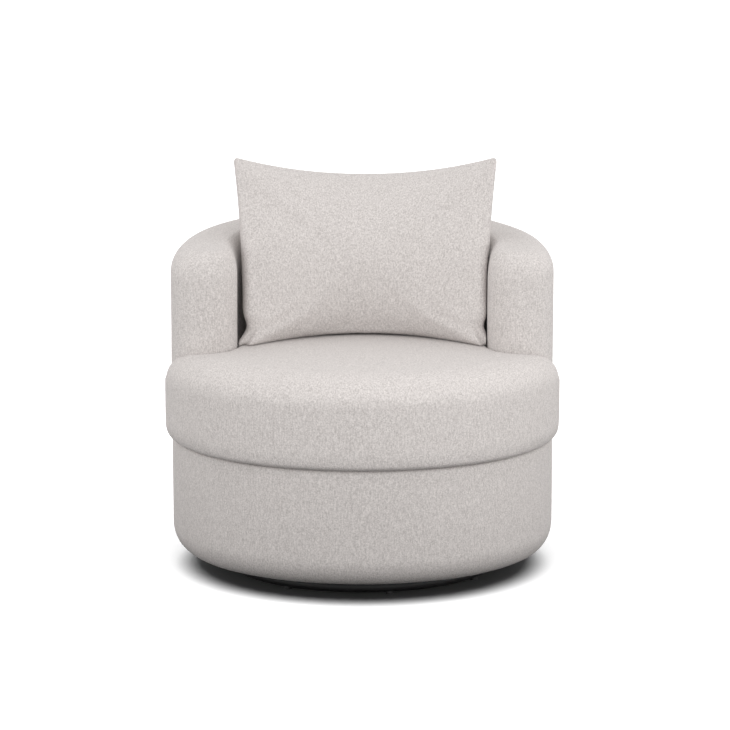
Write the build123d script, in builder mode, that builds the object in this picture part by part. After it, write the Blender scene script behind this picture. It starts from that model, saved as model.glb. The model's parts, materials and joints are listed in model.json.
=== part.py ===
from build123d import *

import os
from math import asin, cos, degrees, pi, radians, sin, sqrt

# Swivel accent chair: a round upholstered drum with a barrel back, a thick seat cushion and a loose
# pillow, turning on a ball bearing over a steel ring. Millimetres. The origin is on the floor on the
# swivel axis, +Z is up and the chair faces -Y. Plan angles run from the back (+Y) towards +X.

# Overall form
body_radius = 396
drum_top = 278
drum_round = 43
drum_lift = 11.5
cover_thick = 2.5
layer_gap = 0.3

# Floor ring, spokes and glides
ring_radius = 274
ring_tube = 25
ring_wall = 1.5
glide_lift = 4
glide_radius = 8
glide_rise = 5
glide_count = 8
glide_turn = 11.5
spoke_count = 4
spoke_width = 25
spoke_height = 25
spoke_rise = 7
spoke_wall = 1.5
spoke_start = 60
vent_radius = 3
hub_margin = 10
hub_thick = 4

# Swivel bearing
plate_thick = 3
lower_plate_side = 240
upper_plate_side = 200
bolt_margin = 20
race_margin = 5
race_width = 25
race_floor = 1
race_gap = 2
ball_diameter = 10
ball_count = 24
ball_clear = 0.15
cage_thick = 1.2
cage_width = 17
cage_clear = 0.2
pivot_radius = 8
pivot_clear = 0.05
pivot_head_radius = 14
pivot_head = 6
washer_radius = 18
washer_thick = 2
washer_clear = 0.3
pivot_nut_radius = 14
pivot_nut = 8

# Fasteners
bolt_radius = 4
bolt_head_radius = 7.5
bolt_head = 5
nut_height = 6.5
bolt_tail = 3
fit_gap = 0.1
tnut_flange_radius = 10
tnut_flange = 1.5
tnut_barrel_radius = 5.5
tnut_barrel = 9
screw_radius = 2
screw_head_radius = 4
screw_head = 3
screw_length = 45

# Drum frame
drum_pad = 18
drum_board = 4
deck_thick = 18
deck_hole_room = 10
rib_count = 8
rib_depth = 40
rib_width = 40
rib_setback = 6
top_ring_width = 85
top_ring_thick = 18
roll_flat = 26
dust_cover_thick = 0.8
dust_cover_edge = 2
dust_cover_room = 6

# Seat springs
rail_share = 2 / 3
rail_thick = 22
rail_depth = 40
rail_lap = 34
spring_count = 5
spring_pitch = 70
spring_width = 45
spring_bends = 16
spring_wire = 3.6
clip_length = 18
clip_sheet = 1.2
clip_clear = 0.3

# Seat cushion
seat_overhang = 15
seat_edge_height = 460
seat_crown = 12
seat_top_round = 46
seat_foot_inset = 13
seat_foot_rise = 36
seat_bulge = 4
seat_hem = 30
seat_clear = 0.3
ear_setback = 4

# Barrel back and arms
wall_thick = 136
wall_spread = 97
crest_height = 675
crest_slope = 0.1
crest_round = 52
crest_pad = 48
outer_pad = 8
outer_board = 3
frame_depth = 60
inner_board = 4
sill_thick = 18
top_rail_thick = 18
post_width = 40
post_count = 5
post_turn_step = 45

# Loose pillow
pillow_offset = 4
pillow_side_gap = 12
pillow_ear_reach = 23
pillow_foot_reach = 4
pillow_height = 332
pillow_ear_rise = 40
pillow_ear_power = 2.5
pillow_thick = 200
pillow_base = 100
pillow_seam = 6
pillow_full_power = 1.3
pillow_set = 149
pillow_lean = 65
pillow_low_wing = 49
pillow_top_wing = 66
pillow_cover_thick = 2
pillow_stations = 6

# Heights that follow from the sizes above
ring_z = glide_lift + ring_tube / 2
spoke_z = ring_z + spoke_rise
vent_z = ring_z + spoke_rise / 2
hub_z = spoke_z + spoke_height / 2
lower_plate_z = hub_z + hub_thick
race_height = ball_diameter / 2 - race_gap / 2 + race_floor
lower_race_z = lower_plate_z + plate_thick
ball_z = lower_race_z + race_height + race_gap / 2
upper_race_z = ball_z + race_gap / 2
upper_plate_z = upper_race_z + race_height
deck_z = upper_plate_z + plate_thick
rib_z = deck_z + deck_thick
rail_top = drum_top - top_ring_thick
drum_low = glide_lift + ring_tube + drum_lift
seat_top = seat_edge_height + seat_crown
sill_top = drum_top + sill_thick
clip_height = spring_wire + 2 * clip_clear + 2 * clip_sheet
wire_z = rail_top + clip_height / 2
pillow_z = seat_top + seat_clear

# Radii and places that follow from the sizes above
layer = cover_thick + layer_gap
board_outer = body_radius - layer - drum_pad - layer_gap
deck_radius = board_outer - drum_board - layer_gap
rib_circle = deck_radius - rib_setback - rib_depth / 2
top_ring_inner = deck_radius - top_ring_width
roll_inner = body_radius - drum_round - roll_flat
ball_circle = upper_plate_side / 2 - race_margin - race_width / 2
lower_pitch = lower_plate_side - 2 * bolt_margin
upper_pitch = upper_plate_side - 2 * bolt_margin
deck_hole = washer_radius + deck_hole_room
seat_radius = body_radius + seat_overhang
wall_inner = body_radius - wall_thick
wall_middle = body_radius - wall_thick / 2
pillow_half_width = wall_inner - pillow_side_gap
pillow_ear_half_width = pillow_half_width + pillow_ear_reach
pillow_foot_half_width = pillow_half_width + pillow_foot_reach
pillow_depth = wall_inner - pillow_set
pillow_bottom_bow = pillow_depth + pillow_low_wing
pillow_top_bow = pillow_depth + pillow_lean - pillow_top_wing
board_back = body_radius - layer - outer_pad - layer_gap
frame_outer = board_back - outer_board - layer_gap
frame_inner = frame_outer - frame_depth
board_front = frame_inner - layer_gap - inner_board
bolt_circle = (deck_radius + frame_inner) / 2
rail_y = rail_share * top_ring_inner
rail_spread = 2 * rail_y
rail_half = sqrt(top_ring_inner**2 - (rail_y + rail_thick / 2) ** 2) + rail_lap
rail_screw_x = rail_half - rail_lap / 2
spring_turn = rail_y / spring_bends
post_turns = [post_turn_step * (i - (post_count - 1) / 2) for i in range(post_count)]
bolt_turns = [turn + post_turn_step / 2 for turn in post_turns[:-1]]
thread_hole = bolt_radius + fit_gap

crest = Plane(origin=(0, 0, crest_height), x_dir=(1, 0, 0), z_dir=(0, -crest_slope, 1))
rail_plane = crest.offset(-layer - crest_pad)

up = (Align.CENTER, Align.CENTER, Align.MIN)
down = (Align.CENTER, Align.CENTER, Align.MAX)

os.makedirs("parts", exist_ok=True)


# Plan point at an angle from the back
def at(radius, turn):
    return (radius * sin(radians(turn)), radius * cos(radians(turn)))


# Plan of an arc band that is open to the front and has square ends
def band(height, inner, outer, spread):
    with BuildSketch(Plane.XY.offset(height)) as plan:
        with BuildLine():
            ThreePointArc(at(outer, -spread), at(outer, 0), at(outer, spread))
            Line(at(outer, spread), at(inner, spread))
            ThreePointArc(at(inner, spread), at(inner, 0), at(inner, -spread))
            Line(at(inner, -spread), at(outer, -spread))
        make_face()
    return plan.sketch


# Plan of the arm and back wall, a band whose ends are half-round noses, grown or drawn in by inset
def wall_plan(inset):
    outer = body_radius - inset
    inner = wall_inner + inset
    reach = wall_thick / 2 - inset
    x, y = at(wall_middle, wall_spread)
    tip_x = x + reach * cos(radians(wall_spread))
    tip_y = y - reach * sin(radians(wall_spread))
    with BuildSketch(Plane.XY.offset(drum_top)) as plan:
        with BuildLine():
            ThreePointArc(at(outer, -wall_spread), at(outer, 0), at(outer, wall_spread))
            ThreePointArc(at(outer, wall_spread), (tip_x, tip_y), at(inner, wall_spread))
            ThreePointArc(at(inner, wall_spread), at(inner, 0), at(inner, -wall_spread))
            ThreePointArc(at(inner, -wall_spread), (-tip_x, tip_y), at(outer, -wall_spread))
        make_face()
    return plan.sketch


# Arm and back wall, drawn in by inset, with a sloping crest and a round top
def wall_form(inset):
    with BuildPart() as form:
        extrude(wall_plan(inset), amount=crest_height)
        split(bisect_by=crest.offset(-inset), keep=Keep.BOTTOM)
        rim = form.faces().sort_by(Axis.Z)[-1].edges()
        fillet(rim, min(crest_round, wall_thick / 2 - layer) - inset)
    return form.part


# Space inside the wall that its frame and boards take up, grown by clear
def frame_space(clear):
    with BuildPart() as form:
        extrude(band(drum_top, board_front - clear, board_back + clear, wall_spread), amount=crest_height)
        split(bisect_by=rail_plane.offset(clear), keep=Keep.BOTTOM)
    return form.part


# Seat cushion, drawn in by inset: a crowned round, cut to fit inside the wall and in front of its noses
def seat_form(inset):
    side = seat_radius - seat_bulge - inset
    top_round = seat_top_round - inset
    foot_rise = seat_foot_rise - inset
    low = drum_top + inset
    high = seat_edge_height - inset
    low_x = side - seat_foot_inset
    top_x = side - top_round
    slant = sqrt(0.5)
    foot_round = (seat_foot_inset**2 + foot_rise**2) / (2 * seat_foot_inset)
    foot_turn = asin(foot_rise / foot_round) / 2
    waist = (low + foot_rise + high - top_round) / 2
    crown_radius = (top_x**2 + seat_crown**2) / (2 * seat_crown)
    crown_drop = crown_radius - sqrt(crown_radius**2 - (top_x / 2) ** 2)
    ear = wall_spread + ear_setback + degrees(inset / seat_radius)
    with BuildPart() as form:
        with BuildSketch(Plane.XZ):
            with BuildLine():
                Polyline((0, seat_top - inset), (0, low), (low_x, low))
                ThreePointArc(
                    (low_x, low),
                    (side - foot_round * (1 - cos(foot_turn)), low + foot_rise - foot_round * sin(foot_turn)),
                    (side, low + foot_rise),
                )
                ThreePointArc((side, low + foot_rise), (side + seat_bulge, waist), (side, high - top_round))
                ThreePointArc(
                    (side, high - top_round),
                    (top_x + slant * top_round, high - (1 - slant) * top_round),
                    (top_x, high),
                )
                ThreePointArc(
                    (top_x, high),
                    (top_x / 2, seat_top - inset - crown_drop),
                    (0, seat_top - inset),
                )
            make_face()
        revolve(axis=Axis.Z)
        if inset:
            with BuildSketch(Plane.XY.offset(drum_top)):
                Circle(low_x - seat_hem - inset)
            extrude(amount=seat_foot_rise)
        extrude(wall_plan(-seat_clear - inset), amount=seat_top, mode=Mode.SUBTRACT)
        extrude(band(drum_top, wall_middle, 2 * seat_radius, ear), amount=seat_top, mode=Mode.SUBTRACT)
    return form.part


# Pillow drawn in by inset, out to a half width: upright sections across the width, each with a flat
# foot, a bulging front and back and a narrow top seam, bowed in plan to follow the barrel
def pillow_form(inset, half_width):
    with BuildPart() as form:
        for i in range(-pillow_stations, pillow_stations + 1):
            x = half_width * sin(pi / 2 * i / pillow_stations)
            ear = abs(x) / pillow_ear_half_width
            bow = (x / pillow_half_width) ** 2
            full = cos(pi / 2 * ear) ** pillow_full_power
            seam = pillow_seam / 2 - inset
            foot = seam + (pillow_base - pillow_seam) / 2 * full
            bulge = pillow_seam - inset + (pillow_thick / 2 - pillow_seam) * full
            low_y = pillow_depth - pillow_bottom_bow * bow
            top_y = pillow_depth + pillow_lean - pillow_top_bow * bow
            low_z = pillow_z + inset
            top_z = pillow_z + pillow_height + pillow_ear_rise * ear**pillow_ear_power - inset
            mid_y = (low_y + top_y) / 2
            mid_z = (low_z + top_z) / 2
            with BuildSketch(Plane.YZ.offset(pillow_offset + x)):
                with BuildLine():
                    Line((low_y + foot, low_z), (low_y - foot, low_z))
                    ThreePointArc((low_y - foot, low_z), (mid_y - bulge, mid_z), (top_y - seam, top_z))
                    Line((top_y - seam, top_z), (top_y + seam, top_z))
                    ThreePointArc((top_y + seam, top_z), (mid_y + bulge, mid_z), (low_y + foot, low_z))
                make_face()
        loft()
    return form.part


# Floor ring of round tube, with a vent into each spoke
with BuildPart() as base_ring:
    with BuildSketch(Plane.XZ):
        with Locations((ring_radius, ring_z)):
            Circle(ring_tube / 2)
            Circle(ring_tube / 2 - ring_wall, mode=Mode.SUBTRACT)
    revolve(axis=Axis.Z)
    with Locations((0, 0, vent_z)):
        with PolarLocations(ring_radius - ring_tube / 2, spoke_count):
            Cylinder(vent_radius, ring_tube / 2, rotation=(0, 90, 0), mode=Mode.SUBTRACT)
base_ring.part.label = "base_ring"
export_step(base_ring.part, "parts/base_ring.step")

# Solid copy of the ring's outside, to cope what is fitted to it
with BuildPart() as ring_outside:
    with BuildSketch(Plane.XZ):
        with Locations((ring_radius, ring_z)):
            Circle(ring_tube / 2 + fit_gap)
    revolve(axis=Axis.Z)

# Spokes of square tube, coped over the ring
with BuildPart() as base_spokes:
    with BuildSketch(Plane.YZ.offset(spoke_start)):
        with Locations((0, spoke_z)):
            Rectangle(spoke_width, spoke_height)
            Rectangle(spoke_width - 2 * spoke_wall, spoke_height - 2 * spoke_wall, mode=Mode.SUBTRACT)
    extrude(amount=ring_radius - spoke_start)
    add(ring_outside.part, mode=Mode.SUBTRACT)
    spoke = base_spokes.part
    for i in range(1, spoke_count):
        add(spoke.rotate(Axis.Z, 360 / spoke_count * i))
base_spokes.part.label = "base_spokes"
export_step(base_spokes.part, "parts/base_spokes.step")

# Hub plate on the spokes
with BuildPart(Plane.XY.offset(hub_z)) as hub_plate:
    Box(lower_plate_side + 2 * hub_margin, lower_plate_side + 2 * hub_margin, hub_thick, align=up)
    Cylinder(pivot_radius + fit_gap, hub_thick, align=up, mode=Mode.SUBTRACT)
    with GridLocations(lower_pitch, lower_pitch, 2, 2):
        Cylinder(thread_hole, hub_thick, align=up, mode=Mode.SUBTRACT)
hub_plate.part.label = "hub_plate"
export_step(hub_plate.part, "parts/hub_plate.step")

# Glides that saddle the ring from below
with BuildPart() as floor_glides:
    with PolarLocations(ring_radius, glide_count, start_angle=glide_turn - 90):
        Cylinder(glide_radius, glide_lift + glide_rise, align=up)
    add(ring_outside.part, mode=Mode.SUBTRACT)
floor_glides.part.label = "floor_glides"
export_step(floor_glides.part, "parts/floor_glides.step")


# Section of a rib with a ball groove, which stands on a bearing plate
def race_section(height):
    with BuildSketch(Plane.XZ) as section:
        with Locations((ball_circle, height + race_height / 2)):
            Rectangle(race_width, race_height)
        with Locations((ball_circle, ball_z)):
            Circle(ball_diameter / 2 + ball_clear, mode=Mode.SUBTRACT)
    return section.sketch


# Lower bearing plate
with BuildPart(Plane.XY.offset(lower_plate_z)) as swivel_lower_plate:
    Box(lower_plate_side, lower_plate_side, plate_thick, align=up)
    Cylinder(pivot_radius + fit_gap, plate_thick, align=up, mode=Mode.SUBTRACT)
    with GridLocations(lower_pitch, lower_pitch, 2, 2):
        Cylinder(thread_hole, plate_thick, align=up, mode=Mode.SUBTRACT)
    revolve(race_section(lower_race_z), axis=Axis.Z)
swivel_lower_plate.part.label = "swivel_lower_plate"
export_step(swivel_lower_plate.part, "parts/swivel_lower_plate.step")

# Bolts down through the lower plate and the hub plate
with BuildPart(Plane.XY.offset(lower_race_z)) as lower_plate_bolts:
    with BuildSketch(Plane.XY.offset(lower_race_z)):
        with GridLocations(lower_pitch, lower_pitch, 2, 2):
            RegularPolygon(bolt_head_radius, 6)
    extrude(amount=bolt_head)
    with GridLocations(lower_pitch, lower_pitch, 2, 2):
        Cylinder(bolt_radius, plate_thick + hub_thick + nut_height + bolt_tail, align=down)
lower_plate_bolts.part.label = "lower_plate_bolts"
export_step(lower_plate_bolts.part, "parts/lower_plate_bolts.step")

# Nuts under the hub plate
with BuildPart() as lower_plate_nuts:
    with BuildSketch(Plane.XY.offset(hub_z)):
        with GridLocations(lower_pitch, lower_pitch, 2, 2):
            RegularPolygon(bolt_head_radius, 6)
            Circle(thread_hole, mode=Mode.SUBTRACT)
    extrude(amount=-nut_height)
lower_plate_nuts.part.label = "lower_plate_nuts"
export_step(lower_plate_nuts.part, "parts/lower_plate_nuts.step")

# Centre pivot, its head under the hub plate
with BuildPart(Plane.XY.offset(hub_z)) as swivel_pivot:
    Cylinder(pivot_head_radius, pivot_head, align=down)
    Cylinder(pivot_radius, deck_z + washer_clear + washer_thick + pivot_nut - hub_z, align=up)
swivel_pivot.part.label = "swivel_pivot"
export_step(swivel_pivot.part, "parts/swivel_pivot.step")

# Washer over the upper plate
with BuildPart(Plane.XY.offset(deck_z + washer_clear)) as pivot_washer:
    Cylinder(washer_radius, washer_thick, align=up)
    Cylinder(pivot_radius + fit_gap, washer_thick, align=up, mode=Mode.SUBTRACT)
pivot_washer.part.label = "pivot_washer"
export_step(pivot_washer.part, "parts/pivot_washer.step")

# Lock nut on the pivot
with BuildPart() as pivot_lock_nut:
    with BuildSketch(Plane.XY.offset(deck_z + washer_clear + washer_thick)):
        RegularPolygon(pivot_nut_radius, 6)
        Circle(pivot_radius + fit_gap, mode=Mode.SUBTRACT)
    extrude(amount=pivot_nut)
pivot_lock_nut.part.label = "pivot_lock_nut"
export_step(pivot_lock_nut.part, "parts/pivot_lock_nut.step")

# Balls between the races
with BuildPart(Plane.XY.offset(ball_z)) as swivel_balls:
    with PolarLocations(ball_circle, ball_count):
        Sphere(ball_diameter / 2)
swivel_balls.part.label = "swivel_balls"
export_step(swivel_balls.part, "parts/swivel_balls.step")

# Cage that spaces the balls
with BuildPart() as ball_cage:
    with BuildSketch(Plane.XY.offset(ball_z - cage_thick / 2)):
        Circle(ball_circle + cage_width / 2)
        Circle(ball_circle - cage_width / 2, mode=Mode.SUBTRACT)
        with PolarLocations(ball_circle, ball_count):
            Circle(ball_diameter / 2 + cage_clear, mode=Mode.SUBTRACT)
    extrude(amount=cage_thick)
ball_cage.part.label = "ball_cage"
export_step(ball_cage.part, "parts/ball_cage.step")

# Upper bearing plate, which runs on the pivot
with BuildPart(Plane.XY.offset(upper_plate_z)) as swivel_upper_plate:
    Box(upper_plate_side, upper_plate_side, plate_thick, align=up)
    Cylinder(pivot_radius + pivot_clear, plate_thick, align=up, mode=Mode.SUBTRACT)
    with GridLocations(upper_pitch, upper_pitch, 2, 2):
        Cylinder(thread_hole, plate_thick, align=up, mode=Mode.SUBTRACT)
    revolve(race_section(upper_race_z), axis=Axis.Z)
swivel_upper_plate.part.label = "swivel_upper_plate"
export_step(swivel_upper_plate.part, "parts/swivel_upper_plate.step")

# Bolts up through the upper plate and the deck
with BuildPart(Plane.XY.offset(upper_plate_z)) as upper_plate_bolts:
    with BuildSketch(Plane.XY.offset(upper_plate_z)):
        with GridLocations(upper_pitch, upper_pitch, 2, 2):
            RegularPolygon(bolt_head_radius, 6)
    extrude(amount=-bolt_head)
    with GridLocations(upper_pitch, upper_pitch, 2, 2):
        Cylinder(bolt_radius, plate_thick + deck_thick + tnut_flange + bolt_tail, align=up)
upper_plate_bolts.part.label = "upper_plate_bolts"
export_step(upper_plate_bolts.part, "parts/upper_plate_bolts.step")

# T-nuts on top of the deck
with BuildPart(Plane.XY.offset(rib_z)) as upper_plate_tnuts:
    with GridLocations(upper_pitch, upper_pitch, 2, 2):
        Cylinder(tnut_flange_radius, tnut_flange, align=up)
        Cylinder(tnut_barrel_radius, tnut_barrel, align=down)
        Cylinder(thread_hole, 2 * tnut_barrel, mode=Mode.SUBTRACT)
upper_plate_tnuts.part.label = "upper_plate_tnuts"
export_step(upper_plate_tnuts.part, "parts/upper_plate_tnuts.step")

# Round bottom deck of the drum
with BuildPart(Plane.XY.offset(deck_z)) as drum_deck:
    Cylinder(deck_radius, deck_thick, align=up)
    Cylinder(deck_hole, deck_thick, align=up, mode=Mode.SUBTRACT)
    with GridLocations(upper_pitch, upper_pitch, 2, 2):
        Cylinder(thread_hole, deck_thick, align=up, mode=Mode.SUBTRACT)
    with Locations((0, 0, deck_thick)):
        with GridLocations(upper_pitch, upper_pitch, 2, 2):
            Cylinder(tnut_barrel_radius + fit_gap, tnut_barrel, align=down, mode=Mode.SUBTRACT)
    with PolarLocations(rib_circle, rib_count):
        Cylinder(screw_radius + fit_gap, deck_thick, align=up, mode=Mode.SUBTRACT)
        Cone(
            screw_head_radius + fit_gap,
            screw_radius + fit_gap,
            screw_head,
            align=up,
            mode=Mode.SUBTRACT,
        )
drum_deck.part.label = "drum_deck"
export_step(drum_deck.part, "parts/drum_deck.step")

# Ribs between the deck and the top ring, bored for a screw at each end
with BuildPart(Plane.XY.offset(rib_z)) as drum_ribs:
    with PolarLocations(rib_circle, rib_count):
        Box(rib_depth, rib_width, rail_top - rib_z, align=up)
        Cylinder(
            screw_radius + fit_gap,
            screw_length - deck_thick + fit_gap,
            align=up,
            mode=Mode.SUBTRACT,
        )
    with Locations((0, 0, rail_top - rib_z)):
        with PolarLocations(rib_circle, rib_count):
            Cylinder(
                screw_radius + fit_gap,
                screw_length - top_ring_thick + fit_gap,
                align=down,
                mode=Mode.SUBTRACT,
            )
drum_ribs.part.label = "drum_ribs"
export_step(drum_ribs.part, "parts/drum_ribs.step")

# Top ring of the drum, bored for the rib screws, the rail screws and the bolts of the back
with BuildPart(Plane.XY.offset(drum_top)) as drum_top_ring:
    Cylinder(deck_radius, top_ring_thick, align=down)
    Cylinder(top_ring_inner, top_ring_thick, align=down, mode=Mode.SUBTRACT)
    with PolarLocations(rib_circle, rib_count):
        Cylinder(screw_radius + fit_gap, top_ring_thick, align=down, mode=Mode.SUBTRACT)
        Cone(
            screw_radius + fit_gap,
            screw_head_radius + fit_gap,
            screw_head,
            align=down,
            mode=Mode.SUBTRACT,
        )
    with GridLocations(2 * rail_screw_x, rail_spread, 2, 2):
        Cylinder(screw_radius + fit_gap, top_ring_thick, align=down, mode=Mode.SUBTRACT)
        Cone(
            screw_radius + fit_gap,
            screw_head_radius + fit_gap,
            screw_head,
            align=down,
            mode=Mode.SUBTRACT,
        )
    with Locations(*[at(bolt_circle, turn) for turn in bolt_turns]):
        Cylinder(thread_hole, top_ring_thick, align=down, mode=Mode.SUBTRACT)
drum_top_ring.part.label = "drum_top_ring"
export_step(drum_top_ring.part, "parts/drum_top_ring.step")

# Bent board round the drum
with BuildPart(Plane.XY.offset(deck_z)) as drum_wall_board:
    Cylinder(board_outer, drum_top - deck_z, align=up)
    Cylinder(board_outer - drum_board, drum_top - deck_z, align=up, mode=Mode.SUBTRACT)
drum_wall_board.part.label = "drum_wall_board"
export_step(drum_wall_board.part, "parts/drum_wall_board.step")

# Padding round the drum, rolled under the edge of the deck
with BuildPart() as drum_padding:
    with BuildSketch(Plane.XZ):
        with BuildLine():
            pad_round = drum_round - layer
            pad_low = drum_low + layer
            pad_edge = body_radius - layer
            pad_x = pad_edge - pad_round
            Polyline(
                (pad_edge, pad_low + pad_round),
                (pad_edge, drum_top),
                (board_outer + layer_gap, drum_top),
                (board_outer + layer_gap, deck_z),
                (roll_inner + layer, deck_z),
                (roll_inner + layer, pad_low),
                (pad_x, pad_low),
            )
            RadiusArc((pad_x, pad_low), (pad_edge, pad_low + pad_round), -pad_round)
        make_face()
    revolve(axis=Axis.Z)
drum_padding.part.label = "drum_padding"
export_step(drum_padding.part, "parts/drum_padding.step")

# Cover round the drum, turned under and up to the deck
with BuildPart() as drum_cover:
    with BuildSketch(Plane.XZ):
        with BuildLine():
            skin_round = drum_round - cover_thick
            skin_low = drum_low + cover_thick
            skin_edge = body_radius - cover_thick
            edge_x = body_radius - drum_round
            RadiusArc((edge_x, drum_low), (body_radius, drum_low + drum_round), -drum_round)
            Polyline(
                (body_radius, drum_low + drum_round),
                (body_radius, drum_top),
                (skin_edge, drum_top),
                (skin_edge, drum_low + drum_round),
            )
            RadiusArc((skin_edge, drum_low + drum_round), (edge_x, skin_low), skin_round)
            Polyline(
                (edge_x, skin_low),
                (roll_inner + cover_thick, skin_low),
                (roll_inner + cover_thick, deck_z),
                (roll_inner, deck_z),
                (roll_inner, drum_low),
                (edge_x, drum_low),
            )
        make_face()
    revolve(axis=Axis.Z)
drum_cover.part.label = "drum_cover"
export_step(drum_cover.part, "parts/drum_cover.step")

# Dust cover under the deck
with BuildPart(Plane.XY.offset(deck_z)) as dust_cover:
    Cylinder(roll_inner - dust_cover_edge, dust_cover_thick, align=down)
    Cylinder(
        upper_plate_side / sqrt(2) + dust_cover_room,
        dust_cover_thick,
        align=down,
        mode=Mode.SUBTRACT,
    )
dust_cover.part.label = "dust_cover"
export_step(dust_cover.part, "parts/dust_cover.step")

# Rails that carry the springs, under the top ring
with BuildPart(Plane.XY.offset(rail_top)) as spring_rails:
    with GridLocations(0, rail_spread, 1, 2):
        Box(2 * rail_half, rail_thick, rail_depth, align=down)
    with GridLocations(2 * rail_screw_x, rail_spread, 2, 2):
        Cylinder(
            screw_radius + fit_gap,
            screw_length - top_ring_thick + fit_gap,
            align=down,
            mode=Mode.SUBTRACT,
        )
spring_rails.part.label = "spring_rails"
export_step(spring_rails.part, "parts/spring_rails.step")

# Sinuous springs: cross bars joined by half turns, from rail to rail
with BuildPart() as one_spring:
    bar = spring_width / 2 - spring_wire / 2 - spring_turn
    with BuildLine(Plane.XY.offset(wire_z)) as wire:
        for i in range(spring_bends + 1):
            side = 1 if i % 2 == 0 else -1
            y = 2 * spring_turn * i - rail_y
            Line((-side * bar, y), (side * bar, y))
            if i < spring_bends:
                ThreePointArc(
                    (side * bar, y),
                    (side * (bar + spring_turn), y + spring_turn),
                    (side * bar, y + 2 * spring_turn),
                )
    with BuildSketch(Plane(origin=wire.line @ 0, z_dir=wire.line % 0)):
        Circle(spring_wire / 2)
    sweep(path=wire.line)
with BuildPart() as seat_springs:
    with GridLocations(spring_pitch, 0, spring_count, 1):
        add(one_spring.part)
seat_springs.part.label = "seat_springs"
export_step(seat_springs.part, "parts/seat_springs.step")

# Clips that hold the end bars of the springs on the rails
with BuildPart() as one_clip:
    slot = spring_wire + 2 * clip_clear
    with BuildSketch(Plane.YZ.offset(-clip_length / 2)):
        with Locations((-rail_y, wire_z)):
            Rectangle(clip_height, clip_height)
            Rectangle(slot, slot, mode=Mode.SUBTRACT)
        with Locations((-rail_y + clip_height / 2, wire_z)):
            Rectangle(2 * clip_sheet, slot, mode=Mode.SUBTRACT)
    extrude(amount=clip_length)
    mirror(about=Plane.XZ)
with BuildPart() as spring_clips:
    with GridLocations(spring_pitch, 0, spring_count, 1):
        add(one_clip.part)
spring_clips.part.label = "spring_clips"
export_step(spring_clips.part, "parts/spring_clips.step")

# Felt over the springs, flush with the top ring
with BuildPart(Plane.XY.offset(rail_top + clip_height)) as deck_felt:
    Cylinder(top_ring_inner - layer_gap, top_ring_thick - clip_height, align=up)
deck_felt.part.label = "deck_felt"
export_step(deck_felt.part, "parts/deck_felt.step")

# Countersunk screws of the drum frame
with BuildPart(Plane.XY.offset(deck_z)) as frame_screws:
    with PolarLocations(rib_circle, rib_count):
        Cylinder(screw_radius, screw_length, align=up)
        Cone(screw_head_radius, screw_radius, screw_head, align=up)
    with Locations((0, 0, drum_top - deck_z)):
        with PolarLocations(rib_circle, rib_count):
            Cylinder(screw_radius, screw_length, align=down)
            Cone(screw_radius, screw_head_radius, screw_head, align=down)
        with GridLocations(2 * rail_screw_x, rail_spread, 2, 2):
            Cylinder(screw_radius, screw_length, align=down)
            Cone(screw_radius, screw_head_radius, screw_head, align=down)
frame_screws.part.label = "frame_screws"
export_step(frame_screws.part, "parts/frame_screws.step")

# Seat cushion: foam core and cover
seat_outside = seat_form(0)
seat_inside = seat_form(cover_thick)
seat_core = seat_form(layer)
with BuildPart() as seat_foam:
    add(seat_core)
seat_foam.part.label = "seat_foam"
export_step(seat_foam.part, "parts/seat_foam.step")

with BuildPart() as seat_cover:
    add(seat_outside)
    add(seat_inside, mode=Mode.SUBTRACT)
seat_cover.part.label = "seat_cover"
export_step(seat_cover.part, "parts/seat_cover.step")

# Sill of the back, bolted on the drum
sill_plan = band(drum_top, frame_inner, frame_outer, wall_spread)
with BuildPart() as back_sill:
    extrude(sill_plan, amount=sill_thick)
    with Locations(*[(*at(bolt_circle, turn), sill_top) for turn in bolt_turns]):
        Cylinder(thread_hole, sill_thick, align=down, mode=Mode.SUBTRACT)
        Cylinder(tnut_barrel_radius + fit_gap, tnut_barrel, align=down, mode=Mode.SUBTRACT)
back_sill.part.label = "back_sill"
export_step(back_sill.part, "parts/back_sill.step")

# Top rail of the back, which follows the slope of the crest
with BuildPart() as back_top_rail:
    extrude(sill_plan, amount=crest_height)
    split(bisect_by=rail_plane, keep=Keep.BOTTOM)
    split(bisect_by=rail_plane.offset(-top_rail_thick), keep=Keep.TOP)
back_top_rail.part.label = "back_top_rail"
export_step(back_top_rail.part, "parts/back_top_rail.step")

# Posts between the sill and the top rail
post_reach = sqrt(frame_outer**2 - (post_width / 2) ** 2)
with BuildPart() as back_posts:
    with BuildSketch(Plane.XY.offset(sill_top)):
        for turn in post_turns:
            with Locations(Location((*at((post_reach + frame_inner) / 2, turn), 0), (0, 0, -turn))):
                Rectangle(post_width, post_reach - frame_inner)
    extrude(amount=crest_height)
    split(bisect_by=rail_plane.offset(-top_rail_thick), keep=Keep.BOTTOM)
back_posts.part.label = "back_posts"
export_step(back_posts.part, "parts/back_posts.step")

# Bent boards inside and outside the back frame
inner_plan = band(drum_top, board_front, board_front + inner_board, wall_spread)
with BuildPart() as back_inner_board:
    extrude(inner_plan, amount=crest_height)
    split(bisect_by=rail_plane, keep=Keep.BOTTOM)
back_inner_board.part.label = "back_inner_board"
export_step(back_inner_board.part, "parts/back_inner_board.step")

outer_plan = band(drum_top, board_back - outer_board, board_back, wall_spread)
with BuildPart() as back_outer_board:
    extrude(outer_plan, amount=crest_height)
    split(bisect_by=rail_plane, keep=Keep.BOTTOM)
back_outer_board.part.label = "back_outer_board"
export_step(back_outer_board.part, "parts/back_outer_board.step")

# Padding and cover of the back and arms
wall_outside = wall_form(0)
wall_inside = wall_form(cover_thick)
wall_core = wall_form(layer)
frame_hollow = frame_space(layer_gap)
with BuildPart() as back_padding:
    add(wall_core)
    add(frame_hollow, mode=Mode.SUBTRACT)
back_padding.part.label = "back_padding"
export_step(back_padding.part, "parts/back_padding.step")

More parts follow.
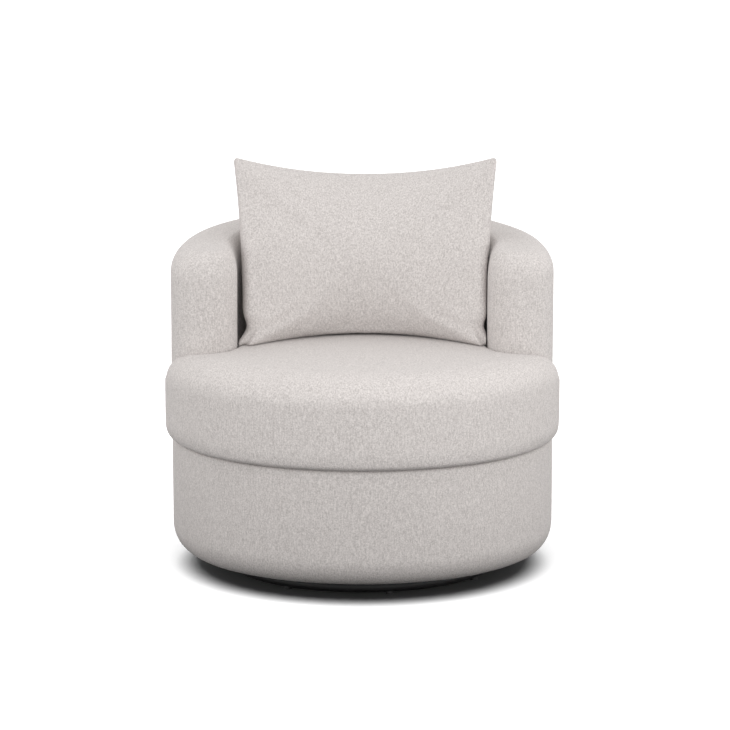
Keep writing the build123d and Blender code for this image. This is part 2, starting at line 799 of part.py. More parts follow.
with BuildPart() as back_cover:
    add(wall_outside)
    add(wall_inside, mode=Mode.SUBTRACT)
back_cover.part.label = "back_cover"
export_step(back_cover.part, "parts/back_cover.step")

# Bolts up through the top ring and the sill
with BuildPart() as back_bolts:
    with Locations(*[(*at(bolt_circle, turn), rail_top) for turn in bolt_turns]):
        Cylinder(bolt_head_radius, bolt_head, align=down)
        Cylinder(bolt_radius, top_ring_thick + sill_thick + tnut_flange + bolt_tail, align=up)
back_bolts.part.label = "back_bolts"
export_step(back_bolts.part, "parts/back_bolts.step")

# T-nuts on top of the sill
with BuildPart() as back_tnuts:
    with Locations(*[(*at(bolt_circle, turn), sill_top) for turn in bolt_turns]):
        Cylinder(tnut_flange_radius, tnut_flange, align=up)
        Cylinder(tnut_barrel_radius, tnut_barrel, align=down)
        Cylinder(thread_hole, 2 * tnut_barrel, mode=Mode.SUBTRACT)
back_tnuts.part.label = "back_tnuts"
export_step(back_tnuts.part, "parts/back_tnuts.step")

# Loose pillow: filling, and a cover whose sides are drawn in between pointed corners
pillow_outside = pillow_form(0, pillow_ear_half_width)
pillow_inside = pillow_form(pillow_cover_thick, pillow_half_width - pillow_cover_thick)
fill_inset = pillow_cover_thick + layer_gap
pillow_core = pillow_form(fill_inset, pillow_half_width - fill_inset)
with BuildPart() as pillow_fill:
    add(pillow_core)
pillow_fill.part.label = "pillow_fill"
export_step(pillow_fill.part, "parts/pillow_fill.step")

corner_z = pillow_z + pillow_height + pillow_ear_rise
waist_z = pillow_z + pillow_height / 2
with BuildPart() as pillow_cover:
    add(pillow_outside)
    for side in (-1, 1):
        foot = (pillow_offset + side * pillow_foot_half_width, pillow_z)
        waist = (pillow_offset + side * pillow_half_width, waist_z)
        corner = (pillow_offset + side * pillow_ear_half_width, corner_z)
        far_x = pillow_offset + 2 * side * pillow_ear_half_width
        with BuildSketch(Plane.XZ):
            with BuildLine():
                ThreePointArc(foot, waist, corner)
                Polyline(corner, (far_x, corner_z), (far_x, pillow_z), foot)
            make_face()
        extrude(amount=2 * pillow_ear_half_width, both=True, mode=Mode.SUBTRACT)
    add(pillow_inside, mode=Mode.SUBTRACT)
pillow_cover.part.label = "pillow_cover"
export_step(pillow_cover.part, "parts/pillow_cover.step")
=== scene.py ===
import json
import math
import bmesh
import bpy
import numpy as np
from mathutils import Matrix, Vector, noise


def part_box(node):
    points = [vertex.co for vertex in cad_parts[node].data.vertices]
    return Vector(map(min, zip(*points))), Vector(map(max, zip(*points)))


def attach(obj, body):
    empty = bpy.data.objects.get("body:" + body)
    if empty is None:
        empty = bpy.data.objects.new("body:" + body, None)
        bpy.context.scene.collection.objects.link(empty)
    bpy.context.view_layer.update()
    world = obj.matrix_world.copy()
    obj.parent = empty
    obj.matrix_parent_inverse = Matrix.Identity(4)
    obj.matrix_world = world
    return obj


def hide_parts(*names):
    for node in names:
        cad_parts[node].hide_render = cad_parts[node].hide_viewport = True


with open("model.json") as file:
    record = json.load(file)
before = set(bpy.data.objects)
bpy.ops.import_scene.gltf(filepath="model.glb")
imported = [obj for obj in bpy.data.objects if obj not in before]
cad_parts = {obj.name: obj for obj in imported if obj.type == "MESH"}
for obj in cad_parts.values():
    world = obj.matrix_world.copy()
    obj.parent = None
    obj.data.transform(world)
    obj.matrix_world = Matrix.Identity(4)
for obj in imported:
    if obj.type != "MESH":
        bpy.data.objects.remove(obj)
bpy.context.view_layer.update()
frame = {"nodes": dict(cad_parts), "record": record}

scene = bpy.context.scene
scene.view_settings.view_transform = "Standard"
nodes = frame["nodes"]
up = Vector((0, 0, 1))
near = 1e-4  # metres, for picking points and edges by where they lie
tiny = 1e-6  # keeps divisions away from zero


# Node maths: a Wire is one output socket, and sums on wires add Math nodes
class Wire:
    def __init__(self, tree, socket):
        self.tree = tree
        self.socket = socket

    def calc(self, operation, first, second):
        return self.tree.add("ShaderNodeMath", {"operation": operation}, {0: first, 1: second})

    def __add__(self, other):
        return self.calc("ADD", self, other)

    def __radd__(self, other):
        return self.calc("ADD", other, self)

    def __sub__(self, other):
        return self.calc("SUBTRACT", self, other)

    def __rsub__(self, other):
        return self.calc("SUBTRACT", other, self)

    def __mul__(self, other):
        return self.calc("MULTIPLY", self, other)


class Finish:
    def __init__(self, name):
        self.material = bpy.data.materials.new(name)
        self.material.use_nodes = True
        self.nodes = self.material.node_tree.nodes
        self.links = self.material.node_tree.links
        self.shader = self.nodes["Principled BSDF"]

    # Any node: its type, its settings, then the values or wires of its sockets
    def add(self, kind, settings=None, sockets=None, out=0):
        made = self.nodes.new(kind)
        for key, value in (settings or {}).items():
            if key == "stops":
                while len(made.color_ramp.elements) < len(value):
                    made.color_ramp.elements.new(0.5)
                for element, (place, colour) in zip(made.color_ramp.elements, value):
                    element.position = place
                    element.color = colour
            else:
                setattr(made, key, value)
        for key, value in (sockets or {}).items():
            self.put(made.inputs[key], value)
        return Wire(self, made.outputs[out])

    def put(self, socket, value):
        if isinstance(value, Wire):
            self.links.new(value.socket, socket)
        else:
            socket.default_value = value

    def surface(self, **sockets):
        for key, value in sockets.items():
            self.put(self.shader.inputs[key.replace("_", " ")], value)
        return self.material

    def place(self, stretch=(1, 1, 1)):
        spot = self.add("ShaderNodeTexCoord", out="Object")
        return self.add("ShaderNodeMapping", {}, {"Vector": spot, "Scale": stretch})

    def noise(self, scale, detail=2.0, rough=0.5, stretch=(1, 1, 1)):
        return self.add(
            "ShaderNodeTexNoise",
            {},
            {"Vector": self.place(stretch), "Scale": scale, "Detail": detail, "Roughness": rough},
        )

    def ramp(self, value, stops):
        return self.add("ShaderNodeValToRGB", {"stops": stops}, {"Fac": value})

    def bump(self, height, strength, distance):
        return self.add(
            "ShaderNodeBump", {}, {"Height": height, "Strength": strength, "Distance": distance}
        )


oatmeal = {
    "dark": (0.41, 0.382, 0.368, 1),
    "mid": (0.527, 0.495, 0.479, 1),
    "pale": (0.635, 0.598, 0.578, 1),
    "stops": (0.36, 0.5, 0.64),  # where the dark, mid and pale yarns stand
    "grain": 340,  # per metre, so about 3 mm
    "thread": 620,
    "slub": 110,
    "slubStretch": (3.6, 3.6, 0.8),
    "grainShare": 0.45,
    "threadShare": 0.25,
    "slubShare": 0.3,
    "nub": 480,
    "nubHeight": 0.6,
    "grainHeight": 0.4,
    "bump": 0.4,
    "bumpDepth": 0.0008,
    "rough": 0.9,
    "roughSpread": 0.1,
    "sheen": 0.1,
    "sheenRough": 0.5,
    "specular": 0.15,
}


# A close weave of pale and darker yarns, with short upright slubs
def oatmealWeave():
    cloth = Finish("oatmealWeave")
    grain = cloth.noise(oatmeal["grain"], 1.0)
    threads = cloth.noise(oatmeal["thread"], 0.0)
    slubs = cloth.noise(oatmeal["slub"], 1.0, 0.5, oatmeal["slubStretch"])
    yarns = grain * oatmeal["grainShare"] + threads * oatmeal["threadShare"] + slubs * oatmeal["slubShare"]
    colours = (oatmeal["dark"], oatmeal["mid"], oatmeal["pale"])
    nubs = cloth.add(
        "ShaderNodeTexVoronoi", {"feature": "SMOOTH_F1"}, {"Vector": cloth.place(), "Scale": oatmeal["nub"]}
    )
    height = (1 - nubs) * oatmeal["nubHeight"] + grain * oatmeal["grainHeight"]
    return cloth.surface(
        Base_Color=cloth.ramp(yarns, list(zip(oatmeal["stops"], colours))),
        Roughness=oatmeal["rough"] + threads * oatmeal["roughSpread"],
        Sheen_Weight=oatmeal["sheen"],
        Sheen_Roughness=oatmeal["sheenRough"],
        Specular_IOR_Level=oatmeal["specular"],
        Normal=cloth.bump(height, oatmeal["bump"], oatmeal["bumpDepth"]),
    )


plain = {
    "detail": 4.0,
    "grainRough": 0.6,
    "stops": (0.3, 0.7),
    "roughSpread": 0.2,
    "bump": 0.4,
}


def plainFinish(name, dark, pale, scale, rough, metal=0.0, bumpDepth=0.0002, stretch=(1, 1, 1)):
    finish = Finish(name)
    grain = finish.noise(scale, plain["detail"], plain["grainRough"], stretch)
    colours = ((*dark, 1), (*pale, 1))
    return finish.surface(
        Base_Color=finish.ramp(grain, list(zip(plain["stops"], colours))),
        Roughness=rough + (grain - 0.5) * plain["roughSpread"],
        Metallic=metal,
        Normal=finish.bump(grain, plain["bump"], bumpDepth),
    )


weave = oatmealWeave()
finishes = {
    "black_paint": plainFinish("blackPowderCoat", (0.006, 0.006, 0.006), (0.011, 0.011, 0.011), 900, 0.6),
    "black_plastic": plainFinish("blackGlidePlastic", (0.01, 0.01, 0.01), (0.02, 0.02, 0.02), 600, 0.6),
    "zinc_steel": plainFinish("zincPlate", (0.42, 0.42, 0.41), (0.62, 0.62, 0.6), 260, 0.38, metal=1.0),
    "cage_plastic": plainFinish("nylonCage", (0.6, 0.58, 0.52), (0.7, 0.68, 0.62), 200, 0.5),
    "plywood": plainFinish(
        "birchPlywood", (0.42, 0.28, 0.16), (0.66, 0.49, 0.31), 40, 0.7, bumpDepth=0.0005, stretch=(1, 1, 14)
    ),
    "bent_board": plainFinish(
        "bentBoard", (0.34, 0.24, 0.15), (0.52, 0.39, 0.26), 60, 0.75, bumpDepth=0.0004, stretch=(1, 1, 6)
    ),
    "foam": plainFinish("creamFoam", (0.7, 0.64, 0.48), (0.82, 0.77, 0.62), 500, 0.95),
    "woven_cover": weave,
    "black_cloth": plainFinish(
        "dustCloth", (0.012, 0.012, 0.012), (0.04, 0.04, 0.04), 700, 0.95, bumpDepth=0.0004
    ),
    "felt": plainFinish("greyFelt", (0.2, 0.19, 0.18), (0.42, 0.4, 0.37), 350, 0.98, bumpDepth=0.001),
}
slotOf = {part["node"]: part["material_slot"] for part in frame["record"]["subparts"]}
for name, node in nodes.items():
    node.data.materials.clear()
    node.data.materials.append(finishes[slotOf[name]])
print("finishes made")


# Turns a bmesh into a smooth piece at the origin
def pieceFrom(bm, name, material, levels=0):
    bmesh.ops.recalc_face_normals(bm, faces=bm.faces)
    mesh = bpy.data.meshes.new(name)
    bm.to_mesh(mesh)
    bm.free()
    mesh.materials.append(material)
    mesh.polygons.foreach_set("use_smooth", [True] * len(mesh.polygons))
    piece = bpy.data.objects.new(name, mesh)
    scene.collection.objects.link(piece)
    if levels:
        soften(piece, levels)
    return piece


def soften(piece, levels):
    modifier = piece.modifiers.new("soft", "SUBSURF")
    modifier.levels = levels
    modifier.render_levels = levels


# Bakes a piece's modifiers into its mesh
def applied(piece):
    bpy.context.view_layer.update()
    baked = bpy.data.meshes.new_from_object(piece.evaluated_get(bpy.context.evaluated_depsgraph_get()))
    piece.modifiers.clear()
    piece.data = baked
    baked.polygons.foreach_set("use_smooth", [True] * len(baked.polygons))


def pointsOf(piece):
    points = np.empty(len(piece.data.vertices) * 3)
    piece.data.vertices.foreach_get("co", points)
    return points.reshape(-1, 3)


def setPoints(piece, points):
    piece.data.vertices.foreach_set("co", points.reshape(-1))
    piece.data.update()


solver = {
    "quality": 6,
    "mass": 0.25,
    "shearShare": 0.5,
    "bending": 0.4,
}


# Puffs a closed mesh with the cloth solver. Each point stays within a cap of where it started, and ease
# scales how far it goes
def puff(piece, stuffing, pinned, ease=1):
    start = pointsOf(piece).copy()
    cloth = piece.modifiers.new("cloth", "CLOTH")
    cloth.settings.quality = solver["quality"]
    cloth.settings.mass = solver["mass"]
    cloth.settings.tension_stiffness = stuffing["stiffness"]
    cloth.settings.compression_stiffness = stuffing["stiffness"]
    cloth.settings.shear_stiffness = stuffing["stiffness"] * solver["shearShare"]
    cloth.settings.bending_stiffness = solver["bending"]
    cloth.settings.use_pressure = True
    cloth.settings.uniform_pressure_force = stuffing["pressure"]
    cloth.settings.effector_weights.gravity = 0
    cloth.point_cache.frame_start = 1
    cloth.point_cache.frame_end = stuffing["frames"]
    group = piece.vertex_groups.new(name="held")
    group.add([int(i) for i in pinned], 1.0, "REPLACE")
    cloth.settings.vertex_group_mass = "held"
    for step in range(1, stuffing["frames"] + 1):
        scene.frame_set(step)
    applied(piece)
    scene.frame_set(1)
    moved = pointsOf(piece) - start
    length = np.linalg.norm(moved, axis=1, keepdims=True)
    held = np.minimum(1, stuffing["cap"] / np.maximum(length, tiny))
    setPoints(piece, start + moved * held * ease)


# Slow swells in stuffing, a millimetre or two deep
def swell(piece, stuffing):
    points = pointsOf(piece)
    normals = np.empty(len(points) * 3)
    piece.data.vertices.foreach_get("normal", normals)
    normals = normals.reshape(-1, 3)
    shift = Vector((stuffing["swellSeed"], 0, 0))
    amount = [noise.noise(Vector(p) * stuffing["swellScale"] + shift) for p in points]
    setPoints(piece, points + normals * (np.array(amount) * stuffing["swell"])[:, None])


def profileRing(bm, corners):
    verts = [bm.verts.new(corner) for corner in corners]
    for i in range(len(verts)):
        bm.edges.new((verts[i], verts[(i + 1) % len(verts)]))
    bm.verts.ensure_lookup_table()


def roundCorners(bm, corners, size, segments):
    bmesh.ops.bevel(
        bm, geom=corners, offset=size, segments=segments, profile=0.5, affect="VERTICES", material=-1
    )


drumLow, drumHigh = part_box("drum_cover")
drum = {
    "radius": drumHigh[0],
    "low": drumLow[2],
    "top": drumHigh[2],
    "round": 0.043,
    "roundRise": 0.055,
    "roundSteps": 10,
    "shoulder": 0.009,
    "shoulderSteps": 3,
    "inner": 0.327,
    "roof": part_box("drum_deck")[0][2],
    "roofGap": 0.001,
    "pick": 0.001,
    "tall": 0.1,  # edges longer than this are cut up
    "cuts": 8,
    "steps": 120,
    "weld": 1e-5,
    "swell": 0.0012,
    "swellScale": 7,
    "swellSeed": 3,
}


def drumUpholstery():
    bm = bmesh.new()
    profileRing(
        bm,
        [
            (drum["radius"], 0, drum["low"]),
            (drum["radius"], 0, drum["top"]),
            (drum["inner"], 0, drum["top"]),
            (drum["inner"], 0, drum["roof"] + drum["roofGap"]),
            (drum["inner"], 0, drum["low"]),
        ],
    )
    roundCorners(bm, [bm.verts[0]], drum["round"], drum["roundSteps"])
    # The foot of the drum draws in over a taller stretch than its round is wide
    for v in bm.verts:
        outside = v.co.x > drum["inner"] + drum["pick"]
        if outside and v.co.z < drum["low"] + drum["round"] + drum["pick"]:
            v.co.z = drum["low"] + (v.co.z - drum["low"]) * drum["roundRise"] / drum["round"]
    outer = [v for v in bm.verts if v.co.x > drum["radius"] - drum["pick"]]
    corner = [v for v in outer if v.co.z > drum["top"] - drum["pick"]]
    roundCorners(bm, corner, drum["shoulder"], drum["shoulderSteps"])
    tall = [e for e in bm.edges if e.calc_length() > drum["tall"]]
    bmesh.ops.subdivide_edges(bm, edges=tall, cuts=drum["cuts"])
    bmesh.ops.spin(
        bm, geom=bm.verts[:] + bm.edges[:], cent=(0, 0, 0), axis=up, angle=math.tau,
        steps=drum["steps"], use_merge=True,
    )
    bmesh.ops.remove_doubles(bm, verts=bm.verts, dist=drum["weld"])
    piece = pieceFrom(bm, "drumUpholstery", weave, 1)
    swell(piece, drum)
    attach(piece, "chair")
    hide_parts("drum_cover", "drum_padding")


backLow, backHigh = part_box("back_cover")
back = {
    "outer": backHigh[1],
    "thick": 0.136,
    "spread": math.radians(97),
    "foot": backLow[2],
    "crest": 0.675,
    "slope": 0.1,  # rise of the crest for each metre towards the back
    "round": 0.052,
    "roundSteps": 12,
    "innerRound": 0.026,
    "innerRise": 0.062,
    "hem": 0.004,
    "hemSteps": 2,
    "tall": 0.2,  # edges longer than this are cut up
    "cuts": 14,
    "steps": 64,
    "noseSteps": 18,
    "swell": 0.0015,
    "swellScale": 6,
    "swellSeed": 11,
}


# A length along a straight part and the round after it, once both have new sizes
def resized(length, straight, newStraight, curve, newCurve):
    if length < straight:
        return length * newStraight / straight
    return newStraight + (length - straight) * newCurve / curve


# The round of the crest, from the outer edge's even one to the inner edge's narrow and tall one
def squareInnerCrest(bm, middle, half):
    flat = half - back["round"]
    innerFlat = half - back["innerRound"]
    wall = back["crest"] - back["round"] - back["foot"]
    innerWall = back["crest"] - back["innerRise"] - back["foot"]
    for v in bm.verts:
        turn = math.atan2(v.co.x, v.co.y)
        end = min(max(turn, -back["spread"]), back["spread"])
        outward = Vector((math.sin(end), math.cos(end)))
        offset = v.co.xy - outward * middle
        reach = offset.length
        if reach < tiny:
            continue
        inward = (1 - offset.dot(outward) / reach) / 2
        rise = v.co.z - back["foot"]
        newReach = resized(reach, flat, innerFlat, back["round"], back["innerRound"])
        newRise = resized(rise, wall, innerWall, back["round"], back["innerRise"])
        share = 1 + inward * (newReach / reach - 1)
        v.co.xy = outward * middle + offset * share
        v.co.z += inward * (newRise - rise)


def barrelBack():
    middle = back["outer"] - back["thick"] / 2
    half = back["thick"] / 2
    bm = bmesh.new()
    profileRing(
        bm,
        [
            (middle + half, 0, back["foot"]),
            (middle + half, 0, back["crest"]),
            (middle - half, 0, back["crest"]),
            (middle - half, 0, back["foot"]),
        ],
    )
    roundCorners(bm, bm.verts[1:3], back["round"], back["roundSteps"])
    feet = [v for v in bm.verts if v.co.z < back["foot"] + near]
    roundCorners(bm, feet, back["hem"], back["hemSteps"])
    tall = [e for e in bm.edges if e.calc_length() > back["tall"]]
    bmesh.ops.subdivide_edges(bm, edges=tall, cuts=back["cuts"])
    flats = [e for e in bm.edges if abs((e.verts[0].co.x + e.verts[1].co.x) / 2 - middle) < near]
    bmesh.ops.subdivide_edges(bm, edges=flats, cuts=1)
    # The profile turns from the +X axis to one end of the wall, then sweeps round the back to the other
    turnTo = Matrix.Rotation(math.pi / 2 - back["spread"], 4, "Z")
    bmesh.ops.transform(bm, matrix=turnTo, verts=bm.verts)
    firstEnd = bm.verts[:]
    firstEdges = bm.edges[:]
    swept = bmesh.ops.spin(
        bm, geom=firstEnd + firstEdges, cent=(0, 0, 0), axis=up, angle=2 * back["spread"],
        steps=back["steps"],
    )
    lastEdges = [g for g in swept["geom_last"] if isinstance(g, bmesh.types.BMEdge)]
    # Half the profile turns about the middle of each end and closes it with a round nose
    for edges, side in ((firstEdges, -1), (lastEdges, 1)):
        outerHalf = [e for e in edges if min(v.co.xy.length for v in e.verts) > middle - near]
        ends = {v for e in outerHalf for v in e.verts}
        angle = math.pi / 2 + side * back["spread"]
        bmesh.ops.spin(
            bm,
            geom=list(ends) + outerHalf,
            cent=(middle * math.cos(angle), middle * math.sin(angle), 0),
            axis=up,
            angle=side * math.pi,
            steps=back["noseSteps"],
        )
    bmesh.ops.remove_doubles(bm, verts=bm.verts, dist=near)
    squareInnerCrest(bm, middle, half)
    for v in bm.verts:
        crest = back["crest"] + back["slope"] * v.co.y
        share = (v.co.z - back["foot"]) / (back["crest"] - back["foot"])
        v.co.z = back["foot"] + (crest - back["foot"]) * share
    piece = pieceFrom(bm, "barrelBack", weave, 1)
    swell(piece, back)
    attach(piece, "chair")
    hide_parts("back_cover", "back_padding")


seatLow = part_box("seat_cover")[0][2]
seat = {
    "weld": 1e-5,
    "voxel": 0.006,
    "smoothing": 6,
    "smoothShare": 0.5,
    "skin": 0.005,
    "pressure": 1.6,
    "frames": 14,
    "cap": 0.0025,
    "stiffness": 25,
    "heldFoot": seatLow + 0.036,
    "heldBack": -0.07,
    "easeOver": 0.16,  # the puff grows over this length in front of what is held
    "heldSide": (-0.13, 0.46),  # behind the first and below the second
    "footEdge": 0.3995,
    "footProud": 0.008,  # how far the hem stands out more at the front than at the sides
    "proudFrom": -0.12,
    "proudOver": 0.2,
    "sideEdge": 0.4135,
    "footRise": 0.036,
    "sideTop": 0.405,
    "sideInner": 0.392,
    "innerBlend": 0.008,
    "sideFront": -0.062,
    "frontBlend": 0.018,
    "topBlend": 0.03,
}


# The side of the cushion: a crisp hem at the drum, a short flare above it, then upright
def seatSide(piece):
    points = pointsOf(piece)
    radius = np.hypot(points[:, 0], points[:, 1])
    flare = np.clip((points[:, 2] - seatLow) / seat["footRise"], 0, 1)
    proud = np.clip((seat["proudFrom"] - points[:, 1]) / seat["proudOver"], 0, 1)
    edge = seat["footEdge"] + seat["footProud"] * proud
    wanted = edge + (seat["sideEdge"] - edge) * (1 - (1 - flare) ** 2)
    front = np.clip((seat["sideFront"] - points[:, 1]) / seat["frontBlend"], 0, 1)
    below = np.clip((seat["sideTop"] - points[:, 2]) / seat["topBlend"] + 1, 0, 1)
    share = front * below * np.clip((radius - seat["sideInner"]) / seat["innerBlend"], 0, 1)
    points[:, :2] *= (1 + share * (wanted / np.maximum(radius, tiny) - 1))[:, None]
    setPoints(piece, points)


# The foam under a skin of cloth, puffed where it is free in front of the barrel
def seatCushion():
    solid = nodes["seat_foam"].data.copy()
    bm = bmesh.new()
    bm.from_mesh(solid)
    bmesh.ops.remove_doubles(bm, verts=bm.verts, dist=seat["weld"])
    bm.to_mesh(solid)
    bm.free()
    solid.materials.clear()
    solid.materials.append(weave)
    piece = bpy.data.objects.new("seatCushion", solid)
    scene.collection.objects.link(piece)
    remesh = piece.modifiers.new("remesh", "REMESH")
    remesh.mode = "VOXEL"
    remesh.voxel_size = seat["voxel"]
    remesh.use_smooth_shade = True
    smooth = piece.modifiers.new("smooth", "SMOOTH")
    smooth.factor = seat["smoothShare"]
    smooth.iterations = seat["smoothing"]
    skin = piece.modifiers.new("skin", "DISPLACE")
    skin.mid_level = 0
    skin.strength = seat["skin"]
    applied(piece)
    points = pointsOf(piece)
    sideFront, sideTop = seat["heldSide"]
    held = (points[:, 2] < seat["heldFoot"]) | (points[:, 1] > seat["heldBack"])
    held |= (points[:, 1] > sideFront) & (points[:, 2] < sideTop)
    ease = np.clip((seat["heldBack"] - points[:, 1:2]) / seat["easeOver"], 0, 1)
    puff(piece, seat, np.nonzero(held)[0], ease**2 * (3 - 2 * ease))
    seatSide(piece)
    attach(piece, "chair")
    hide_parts("seat_cover", "seat_foam")


pillow = {
    "across": 72,
    "upright": 50,
    "offset": 0.006,
    "half": 0.253,
    "cornerReach": 0.0215,  # how far the upper corners stand out past the sides
    "bottom": 0.4732,
    "top": 0.801,  # at the middle of the top edge
    "earRise": 0.048,
    "earCurve": 2.1,
    "tip": 0.035,  # blunt corners, as a share of the half width and of the height
    "depth": 0.107,
    "lean": 0.067,
    "bottomBow": 0.156,
    "topBow": 0.095,
    "bowCurve": 2.5,
    "bowWidth": 0.248,
    "seam": 0.003,
    "full": 0.105,
    "belly": 0.46,  # height of the fullest part, as a share
    "base": 0.2,
    "shoulderCurve": 2.3,
    "shoulderFull": 0.65,
    "sideCurve": 4,
    "sideCurveDrop": 1.7,
    "sideFull": 0.5,
    "sideFullRise": 0.05,
    "crownDrop": 0.1,
    "notchHeight": 0.105,
    "notch": 0.008,
    "tail": 0.013,
    "foldWidth": 0.045,
    "armRadius": 0.2585,
    "tuck": 0.03,
    "tuckFrom": 0.9,
    "tuckBlend": 0.03,
    "heldRim": 0.999,
    "heldBase": 0.02,
    "pressure": 1.2,
    "frames": 16,
    "cap": 0.007,
    "stiffness": 18,
}


# Where the pillow's cloth lies: s runs from -1 to 1 across it, t from 0 at its base to 1 at its top, and
# side is -1 on the front layer and 1 on the back one
def pillowShape(s, t, side):
    tip = pillow["tip"]
    i = np.clip((np.abs(s) - 1 + tip) / tip, 0, 1)
    j = np.clip((t - 1 + tip) / tip, 0, 1)
    s = np.sign(s) * (np.abs(s) - tip * i * (1 - np.sqrt(1 - j**2 / 2)))
    t = t - tip * j * (1 - np.sqrt(1 - i**2 / 2))
    ear = np.abs(s)
    # Outline: sides that flare to the upper corners, a notch and a short tail at each lower one
    fold = np.exp(-(((t - pillow["notchHeight"]) / pillow["foldWidth"]) ** 2))
    tail = np.exp(-((t / pillow["foldWidth"]) ** 2))
    half = pillow["half"] + pillow["cornerReach"] * t ** pillow["earCurve"]
    half = half - pillow["notch"] * fold + pillow["tail"] * tail
    x = s * half
    rise = pillow["top"] - pillow["bottom"] + pillow["earRise"] * ear ** pillow["earCurve"]
    z = pillow["bottom"] + t * rise
    z -= (1 - t) * pillow["crownDrop"] * (x**2)
    # Thickness: full at the belly, a squashed base below it, seams at the sides and the top
    under = 1 - t / pillow["belly"]
    over = (t - pillow["belly"]) / (1 - pillow["belly"])
    low = pillow["base"] + (1 - pillow["base"]) * np.sqrt(np.clip(1 - np.clip(under, 0, 1) ** 2, 0, 1))
    high = np.clip(1 - np.clip(over, 0, 1) ** pillow["shoulderCurve"], 0, 1) ** pillow["shoulderFull"]
    sideCurve = pillow["sideCurve"] - pillow["sideCurveDrop"] * t
    sideFull = pillow["sideFull"] + pillow["sideFullRise"] * t
    across = np.clip(1 - ear**sideCurve, 0, 1) ** sideFull
    thick = pillow["seam"] + pillow["full"] * across * np.where(t < pillow["belly"], low, high)
    # Bow: the sides come forward round the sitter, more at the base than at the top
    bow = pillow["topBow"] + (pillow["bottomBow"] - pillow["topBow"]) * (1 - t) ** pillow["bowCurve"]
    y = pillow["depth"] + pillow["lean"] * t - bow * (x / pillow["bowWidth"]) ** 2 + side * thick
    tucked = np.clip((ear - pillow["tuckFrom"]) / pillow["tuckBlend"], 0, 1)
    tucked = tucked * np.clip(1 - t / pillow["notchHeight"], 0, 1)
    y += pillow["tuck"] * tucked
    return np.column_stack((x + pillow["offset"], y, z))


# Draws in what would reach into the arms, below the barrel's crest
def trimToArms(piece):
    points = pointsOf(piece)
    radius = np.hypot(points[:, 0], points[:, 1])
    crown = np.clip((points[:, 2] - back["crest"]) / back["innerRise"] + 1, 0, 1)
    room = pillow["armRadius"] + back["innerRound"] * (1 - np.sqrt(1 - crown**2))
    tight = np.where(points[:, 2] < back["crest"], np.minimum(1, room / radius), 1)
    points[:, :2] *= tight[:, None]
    setPoints(piece, points)


# Two layers of cloth, sewn at the sides and the top, that stand on a squashed base
def loosePillow():
    bm = bmesh.new()
    bmesh.ops.create_grid(bm, x_segments=pillow["across"], y_segments=pillow["upright"], size=0.5)
    behind = bmesh.ops.extrude_face_region(bm, geom=bm.faces[:])
    bmesh.ops.translate(bm, vec=up, verts=[g for g in behind["geom"] if isinstance(g, bmesh.types.BMVert)])
    piece = pieceFrom(bm, "loosePillow", weave)
    flat = pointsOf(piece)
    s = 2 * flat[:, 0]
    t = flat[:, 1] + 0.5
    # The grid lies closer together towards its edges
    s = 0.5 * s + 0.5 * np.sin(np.pi / 2 * s)
    t = 0.5 * t + 0.25 * (1 - np.cos(np.pi * t))
    setPoints(piece, pillowShape(s, t, np.where(flat[:, 2] > 0.5, 1, -1)))
    rim = np.maximum(np.abs(2 * flat[:, 0]), 2 * flat[:, 1])
    held = (rim > pillow["heldRim"]) | (t < pillow["heldBase"])
    puff(piece, pillow, np.nonzero(held)[0])
    trimToArms(piece)
    soften(piece, 1)
    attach(piece, "pillow")
    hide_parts("pillow_cover", "pillow_fill")


drumUpholstery()
print("drum covered")
barrelBack()
print("back covered")
seatCushion()
print("seat covered")
loosePillow()
print("pillow filled")

view = {
    "distance": 6.0,
    "height": 1.465,
    "pitch": 9.88,
    "focalPixels": 2928,
    "imagePixels": 730,
    "axisPixel": 362.4,  # the column that the chair's axis falls on
    "sensor": 36,
}


def photographView():
    lens = bpy.data.cameras.new("photographView")
    lens.sensor_width = view["sensor"]
    lens.lens = view["sensor"] * view["focalPixels"] / view["imagePixels"]
    lens.shift_x = (view["imagePixels"] / 2 - view["axisPixel"]) / view["imagePixels"]
    camera = bpy.data.objects.new("photographView", lens)
    camera.location = (0, -view["distance"], view["height"])
    camera.rotation_euler = (math.radians(90 - view["pitch"]), 0, 0)
    scene.collection.objects.link(camera)
    scene.camera = camera


light = {
    "sky": 0.94,
    "sun": 32,
    "sunSpread": 70,
    "sunTurn": (19, 0, 0),
    "floor": 0.165,
    "floorGlow": 0.004,
    "farReach": 60,
    "bounce": 0.5,
    "bounceDrop": 0.004,
    "nearBounce": 0.03,  # the floor close by lies in the chair's own shade
    "nearReach": 0.8,
    "aim": (0, 0, 0.44),
    "boxes": [  # name, watts, size and place
        ("topBox", 9.5, 2.4, (0, 0.2, 2.6)),
        ("frontBox", 12.5, 1.4, (0.47, -1.8, 1.1)),
        ("leftBox", 11.5, 1.2, (-2.1, -0.9, 0.9)),
        ("rightBox", 10.2, 1.2, (2.1, -0.6, 0.75)),
    ],
}


def floorPlane(name, height, reach, finish):
    bm = bmesh.new()
    bmesh.ops.create_grid(bm, x_segments=1, y_segments=1, size=reach)
    bmesh.ops.translate(bm, vec=(0, 0, height), verts=bm.verts)
    plane = pieceFrom(bm, name, finish)
    return plane


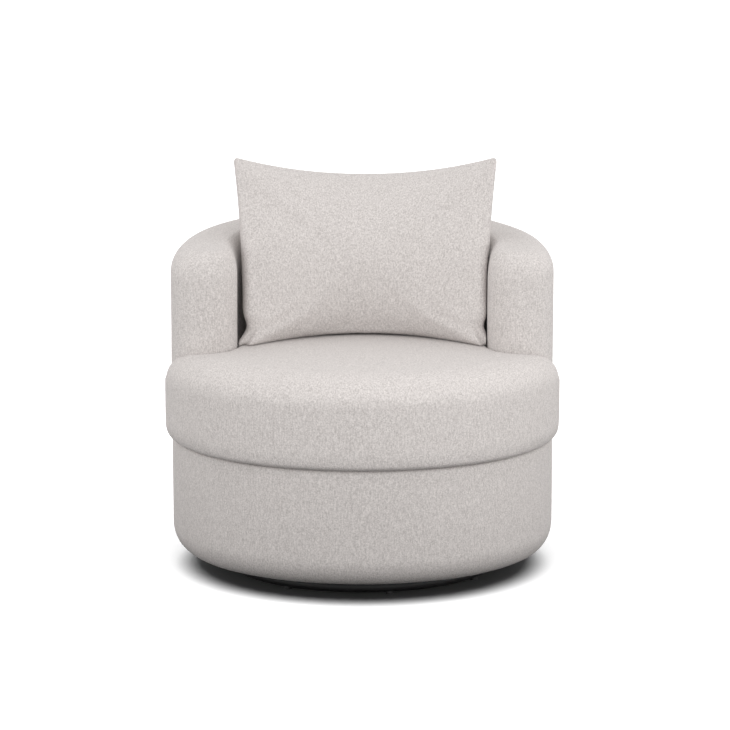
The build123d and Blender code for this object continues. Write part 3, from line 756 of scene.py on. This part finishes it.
# The floor that shows, which doesn't light the chair
def paleFloor():
    white = Finish("paleFloor").surface(
        Base_Color=(light["floor"], light["floor"], light["floor"], 1),
        Roughness=1.0,
        Specular_IOR_Level=0.0,
        Emission_Color=(1, 1, 1, 1),
        Emission_Strength=light["floorGlow"],
    )
    floor = floorPlane("paleFloor", 0, light["farReach"], white)
    floor.visible_diffuse = False
    floor.visible_shadow = False
    return floor


# A grey plane that doesn't show and lights the chair from below
def bouncePlane(name, height, reach, shade):
    grey = Finish(name).surface(Base_Color=(shade, shade, shade, 1), Roughness=1.0, Specular_IOR_Level=0.0)
    floorPlane(name, height, reach, grey).visible_camera = False


# A broad high sun for the pale floor alone, so that it comes out white
def highSun(floor):
    sun = bpy.data.lights.new("highSun", "SUN")
    sun.energy = light["sun"]
    sun.angle = math.radians(light["sunSpread"])
    high = bpy.data.objects.new("highSun", sun)
    high.rotation_euler = [math.radians(turn) for turn in light["sunTurn"]]
    scene.collection.objects.link(high)
    sunlit = bpy.data.collections.new("sunlit")
    sunlit.objects.link(floor)
    high.light_linking.receiver_collection = sunlit


# A lamp that lights the chair and spares the pale floor
def softbox(name, power, size, place, spared):
    lamp = bpy.data.lights.new(name, "AREA")
    lamp.energy = power
    lamp.size = size
    holder = bpy.data.objects.new(name, lamp)
    holder.location = place
    holder.rotation_euler = (Vector(light["aim"]) - Vector(place)).to_track_quat("-Z", "Y").to_euler()
    holder.light_linking.receiver_collection = spared
    scene.collection.objects.link(holder)


def studio():
    world = bpy.data.worlds.new("paleStudio")
    world.use_nodes = True
    sky = world.node_tree.nodes["Background"].inputs
    sky["Color"].default_value = (1, 1, 1, 1)
    sky["Strength"].default_value = light["sky"]
    scene.world = world
    floor = paleFloor()
    bouncePlane("farBounce", -light["bounceDrop"], light["farReach"], light["bounce"])
    bouncePlane("nearBounce", -light["bounceDrop"] / 2, light["nearReach"], light["nearBounce"])
    highSun(floor)
    spared = bpy.data.collections.new("spared")
    spared.objects.link(floor)
    spared.collection_objects[0].light_linking.link_state = "EXCLUDE"
    for name, power, size, place in light["boxes"]:
        softbox(name, power, size, place, spared)


photographView()
studio()
print("stage set")
